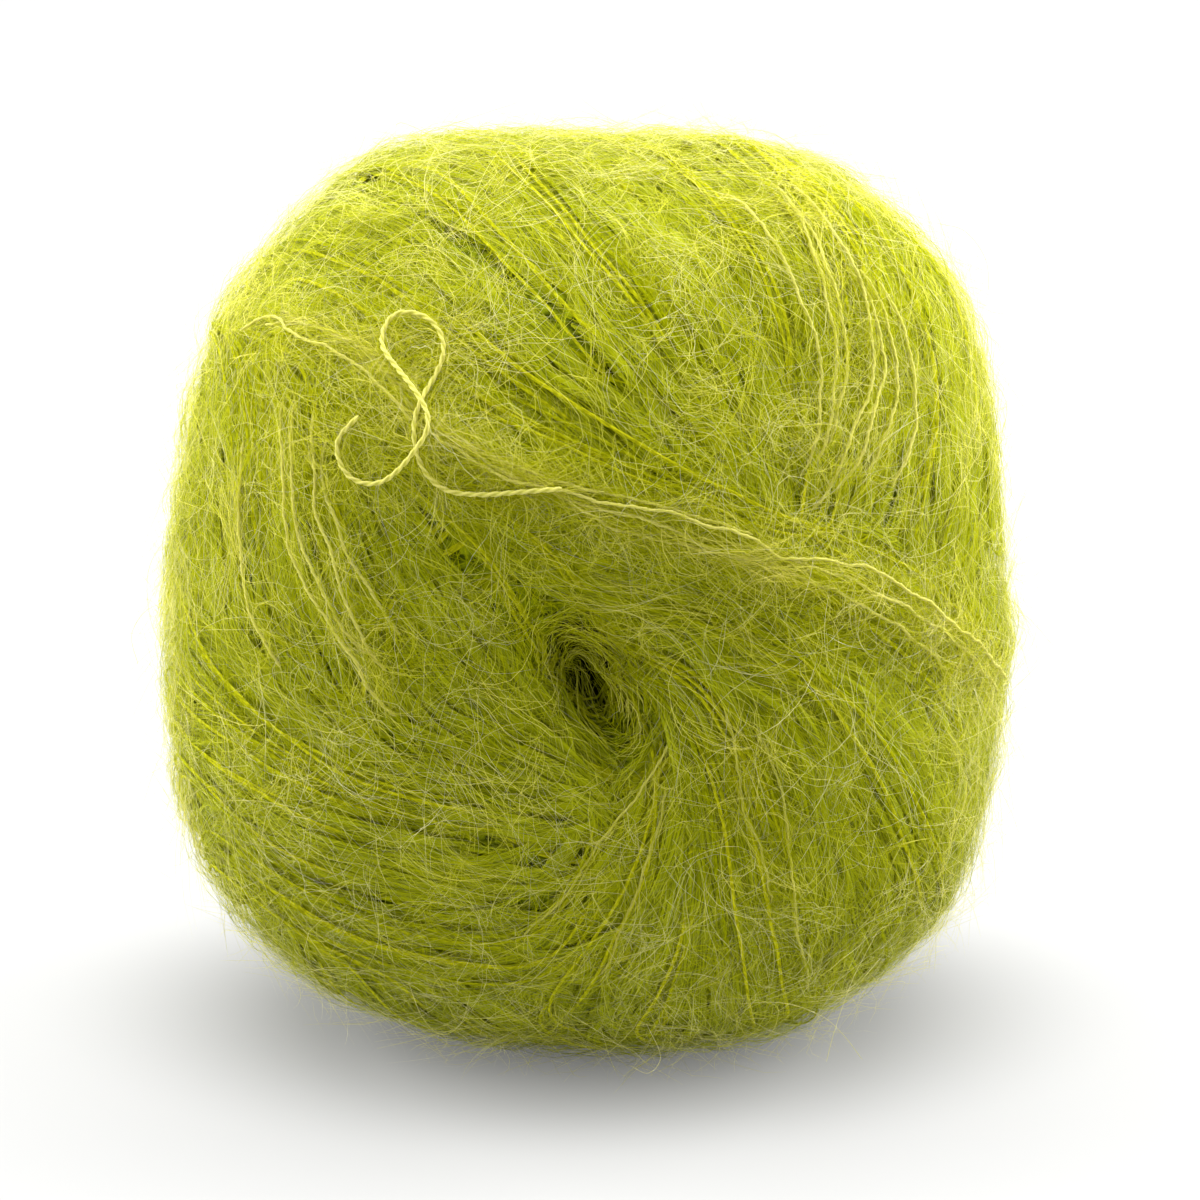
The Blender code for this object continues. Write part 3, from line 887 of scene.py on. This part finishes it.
def build_fuzz(surface, ways, name, material, seed, count, steps, length, width, lift, spread, curl, roll,
               arch=True, tones=(0.05, 0.95), base=-1.1, clump=6, scatter=0.6, over_hole=False,
               along_lines=None, calm=()):
    """Thin fibres brushed out of the yarn, in wisps of about clump fibres.

    length, width and lift are (least, most) in mm, as base, the height of the roots, and scatter are. An
    arched fibre comes down again at its tip. spread, curl and roll are how far fibres turn from the winding,
    along their length and about it. along_lines are places for the wisps, and calm are places with fewer.
    """
    rng = np.random.default_rng(seed)
    if along_lines is None:
        wisps = seeds(surface, count // clump * 2, rng)
        wisps = wisps[surface.hole(unit(wisps)) < WISP_DEEPEST] if not over_hole else wisps
        wisps = wisps[rng.random(len(wisps)) < wildness(wisps, calm)][: count // clump]
    else:
        wisps = along_lines[rng.integers(0, len(along_lines), count // clump)]
    wisp = rng.integers(0, len(wisps), count)

    def drawn(low, high):
        """A value from low to high, near the same for the fibres of one wisp."""
        near = rng.random(len(wisps))[wisp] * (1 - FUZZ_OWN) + rng.random(count) * FUZZ_OWN
        return (low + (high - low) * near)[:, None]

    def swung(size):
        """A value about 0 of this size, near the same for the fibres of one wisp."""
        return (rng.normal(0, size, len(wisps))[wisp] + rng.normal(0, size * FUZZ_OWN, count))[:, None]

    starts = wisps[wisp] + rng.normal(0, scatter * MM, (count, 3))
    spot = unit(starts)
    leads = surface.nearest(ways, spot)
    flip = rng.choice((-1.0, 1.0), len(wisps))[wisp] * rng.choice((-1.0, 1.0), count, p=(0.15, 0.85))
    leads = leads * flip[:, None]
    leads = turned(leads, surface.normal(spot), swung(spread)[:, 0])
    step = (drawn(*length) * MM)[:, 0] / (steps - 1)
    along = np.linspace(0, 1, steps)[None]
    swell = swells(starts)[:, None]
    above = (starts + CENTRE)[:, 2:] / MM
    top = drawn(*lift) * (1 + 0.35 * swell) + 0.12 * swell
    if arch:
        rise = np.sin(math.pi * along ** drawn(0.6, 1.3))
    else:
        rise = along ** drawn(0.8, 1.8)
    heights = (base + top * rise - FUZZ_SINK * rng.random(count)[:, None]) * MM
    sweep = swung(curl) * (step / MM)[:, None]
    swing = swung(curl) * (step / MM)[:, None]
    bend = sweep + swing * np.sin(along * drawn(2, 7) + drawn(0, 6.3))
    roots = surface.lay(spot)
    lines = march(surface, ways, roots, leads, steps, step, heights, bend, FUZZ_FOLLOW, over_hole)
    lines = above_floor(lines + CENTRE, 0.15 * MM)
    outward = unit(lines - CENTRE)
    tangents = unit(np.gradient(lines, axis=1))
    rolls = rng.normal(0, roll, count)[:, None] + np.zeros(steps)[None]
    facing = turned(outward, tangents, rolls)
    taper = np.minimum(1, np.minimum(along * 6 + 0.5, (1 - along) * 3 + 0.25))
    widths = rng.uniform(*width, count)[:, None] * taper * MM / 2
    # Wisps in the swells are lighter and those between them darker: partly tone that varies, partly painted
    # light on the tufts and painted shade between them. Those near the floor are darker, painted shade low on
    # the ball, and those in the hole darker still, painted shade in the hole.
    share = np.clip(drawn(0, 1) + 0.2 * swell - 0.5 * np.exp(-above / 9), 0, 1)[:, 0]
    tone = tones[0] + (tones[1] - tones[0]) * share
    # Fibres in the hole are darkened towards near black: painted shade in the hole.
    hole_painted_shade = np.clip(surface.hole(outward) / MM / 4.5 - 0.25, 0, 1) * (not over_hole)
    tone = np.maximum(tone, PAINTED_SHADE_TONE)[:, None] - hole_painted_shade
    points, faces, places, ups = ribbon_arrays(lines, facing, widths, tone)
    shading = unit(0.7 * outward + 0.7 * ups)
    normals = np.repeat(shading.reshape(-1, 3), 2, axis=0)
    declare(make_mesh(name, above_floor(points), faces, places, normals), material)


def build_strays(material):
    """Single long fibres that hang clear of the ball."""
    parts = []
    for route, tone in zip(STRAYS, np.linspace(0.25, 0.98, len(STRAYS))):
        laid = []
        for right, up, near in catmull(route, 8):
            ray = eye_ray(right, up)
            laid.append(EYE + ray * (VIEW_DISTANCE - near * MM) / (ray @ AHEAD))
        line = above_floor(np.array(laid), 0.2 * MM)
        parts.append(tube_arrays(
            line, unit(line - CENTRE), radius=0.026 * MM, sides=3, twist=0, lobe=0.0, tone=tone, shade=0.1,
        ))
    declare(make_mesh("stray_fibres", *joined(parts)), material)


# Camera, light and floor

def build_camera():
    data = bpy.data.cameras.new("camera")
    data.lens = LENS_MM
    data.sensor_width = 36
    data.clip_start = 0.01
    data.clip_end = 20
    camera = linked("camera", data)
    camera.location = Vector(EYE)
    camera.rotation_euler = (math.radians(90) - ELEVATION, 0, 0)
    bpy.context.scene.camera = camera


def area_light(name, place, aim, size, power):
    data = bpy.data.lights.new(name, "AREA")
    data.shape = "DISK"
    data.size = size
    data.energy = power
    light = linked(name, data)
    light.location = place
    light.rotation_euler = (Vector(aim) - Vector(place)).to_track_quat("-Z", "Y").to_euler()


def build_stage():
    world = bpy.data.worlds.new("studio")
    world.use_nodes = True
    background = world.node_tree.nodes["Background"]
    background.inputs["Color"].default_value = (0.93, 0.935, 0.94, 1)
    background.inputs["Strength"].default_value = 0.56
    bpy.context.scene.world = world
    bpy.context.scene.view_settings.view_transform = "Standard"
    mesh = bpy.data.meshes.new("floor")
    turns = np.linspace(0, 2 * math.pi, FLOOR_SIDES, endpoint=False)
    ring = [(FLOOR_RADIUS * math.cos(turn), FLOOR_RADIUS * math.sin(turn), 0) for turn in turns]
    mesh.from_pydata(ring, [], [tuple(range(FLOOR_SIDES))])
    floor = linked("floor", mesh)
    floor.location.z = -FLOOR_DROP
    graph = Graph("floor")
    place = graph.add("TexCoord", {}, "Object")
    distance_for_painted_shade = graph.vector("LENGTH", graph.vector("MULTIPLY", place, (FLOOR_SHADOW_SQUEEZE, 1, 1)), result="Value")
    limits = FLOOR_PAINTED_LIGHT_FROM, FLOOR_PAINTED_LIGHT_TO, FLOOR_PAINTED_LIGHT_LOW, FLOOR_PAINTED_LIGHT_HIGH
    # Painted light and shadow: the floor glows, less near the ball, which paints its soft shadow.
    glow = graph.mapped(distance_for_painted_shade, *limits, interpolation_type="SMOOTHSTEP")
    floor.data.materials.append(graph.done(graph.add("BsdfPrincipled", {
        "Base Color": (0.19, 0.19, 0.188, 1), "Roughness": 0.8, "Specular IOR Level": 0.2,
        "Emission Color": (1, 1, 1, 1), "Emission Strength": glow,
    }, "BSDF")))
    area_light("top", (0.0, 0.35, 2.4), (0, 0, 0.04), 3.4, 124)
    area_light("left", (-1.25, 0.4, 0.5), (0, 0, 0.05), 1.0, 29)
    area_light("right", (1.25, 0.4, 0.6), (0, 0, 0.05), 1.0, 34)


build_camera()
surface = Surface(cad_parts["ball"])
fibre = yarn_material(
    "brushed_fibre", (0.27, 0.31, 0.0), (0.99, 0.92, 0.20), through=0.25, roughness=0.8, sheen=0.7,
    middle=(0.57, 0.585, 0.001),
)
# Paler fibres for the halo and the strays: partly the lighter colour of fine hair, partly painted light of
# the bright rim.
pale_with_painted_rim_light = yarn_material(
    "halo_fibre", (0.80, 0.76, 0.18), (0.99, 0.94, 0.45), through=0.3, roughness=0.7, sheen=1.0,
)
strand = yarn_material(
    "twisted_yarn", (0.50, 0.50, 0.01), (0.98, 0.93, 0.27), through=0.3, roughness=0.7, sheen=0.25,
)
lock = lock_material()
wound = yarn_material(
    "wound_yarn", (0.30, 0.34, 0.0), (0.64, 0.63, 0.01), through=0.3, roughness=0.8, sheen=0.1, painted_twist_patches=0.3,
)
loose_line = build_loose_end(surface, strand)
routes = {name: seen_from_eye(surface, route) for name, (_, route) in STRANDS.items()}
lies = [seen_from_eye(surface, route) for route in LIES]
ways = way_grid(surface, [*routes.values(), *lies], False)
under = way_grid(surface, [], True)
hole_end = surface.lay(np.array([[0.02, -1.0, 0.02]]), -8 * MM, True)[0] + CENTRE
build_bed(surface, bed_material(hole_end))
build_layer(
    surface, under, "wound_strands_low", count=250, steps=34, step=1.6 * MM, height=-1.95 * MM,
    width=0.36 * MM, material=wound, seed=11, spread=0.02,
)
build_locks(
    surface, ways, "locks_low", count=1850, steps=12, length=(16, 34), width=(1.6, 3.6),
    height=(-1.7, -1.1), spread=0.18, material=lock, seed=15,
)
build_locks(
    surface, ways, "locks_high", count=1500, steps=12, length=(10, 24), width=(0.8, 2.0),
    height=(-1.4, -0.8), spread=0.3, material=lock, seed=16,
)
front = [(surface.lay(np.array([[0.0, -1.0, 0.0]]))[0], FRONT_CALM)]
calm = [
    (seen_from_eye(surface, [place, (place[0] + 0.1, place[1])])[0], reach * MM) for place, reach in CALM
]
build_layer(
    surface, ways, "wound_strands_high", count=300, steps=32, step=1.5 * MM, height=-0.74 * MM,
    width=0.18 * MM, material=wound, seed=12, spread=0.02, calm=calm,
)
build_strands(routes, strand)
build_fuzz(
    surface, ways, "fuzz_close", fibre, seed=21, count=11500, steps=7, length=(6, 13),
    width=(0.035, 0.055), lift=(0.1, 0.7), spread=0.25, curl=0.1, roll=0.6, tones=(0, 0.8),
)
build_fuzz(
    surface, ways, "fuzz_soft", fibre, seed=22, count=12300, steps=8, length=(7, 16), width=(0.03, 0.05),
    lift=(0.4, 1.3), spread=0.45, curl=0.16, roll=0.8, tones=(0.1, 1), calm=calm,
)
build_fuzz(
    surface, ways, "fuzz_cross", fibre, seed=23, count=10500, steps=9, length=(7, 17), width=(0.03, 0.045),
    lift=(0.7, 2.0), spread=0.8, curl=0.22, roll=0.9, tones=(0.22, 1.0), clump=7, over_hole=True, calm=calm,
)
build_fuzz(
    surface, ways, "fuzz_halo", pale_with_painted_rim_light, seed=24, count=10500, steps=8, length=(6, 17), width=(0.022, 0.036),
    lift=(1.0, 5.6), spread=1.0, curl=0.2, roll=1.2, arch=False, clump=4, calm=front,
)
belt_points = np.vstack([
    evenly(route, ROUTE_SPACING) for name, route in routes.items() if name.startswith("belt")
])
build_fuzz(
    surface, ways, "fuzz_on_belt", fibre, seed=28, count=2200, steps=6, length=(4, 10), width=(0.03, 0.045),
    lift=(0.2, 1.0), spread=0.22, curl=0.16, roll=0.9, tones=(0.25, 1.0), base=-0.35, clump=2, scatter=0.45,
    along_lines=belt_points,
)
strand_points = np.vstack([evenly(route, ROUTE_SPACING) for route in routes.values()])
build_fuzz(
    surface, ways, "fuzz_on_strands", fibre, seed=25, count=4300, steps=6, length=(3, 9),
    width=(0.028, 0.042), lift=(0.1, 1.0), spread=0.35, curl=0.2, roll=0.9, tones=(0.25, 1.0), base=-0.3,
    clump=2, scatter=0.3, along_lines=strand_points,
)
build_fuzz(
    surface, ways, "fuzz_on_loose_end", fibre, seed=26, count=900, steps=6, length=(2.5, 8),
    width=(0.03, 0.04), lift=(0.1, 0.7), spread=0.6, curl=0.25, roll=0.9, tones=(0.25, 1.0), base=0.3,
    clump=2, scatter=0.2, along_lines=loose_line - CENTRE,
)
hole_points = evenly(seen_from_eye(surface, HOLE_ROUTE), ROUTE_SPACING)
build_fuzz(
    surface, ways, "fuzz_over_hole", fibre, seed=27, count=620, steps=9, length=(5, 13), width=(0.03, 0.045),
    lift=(0.2, 1.8), spread=1.3, curl=0.3, roll=0.9, tones=(0.1, 0.9), base=-1.7, clump=3, scatter=2.4,
    over_hole=True, along_lines=hole_points,
)
build_strays(pale_with_painted_rim_light)
build_stage()
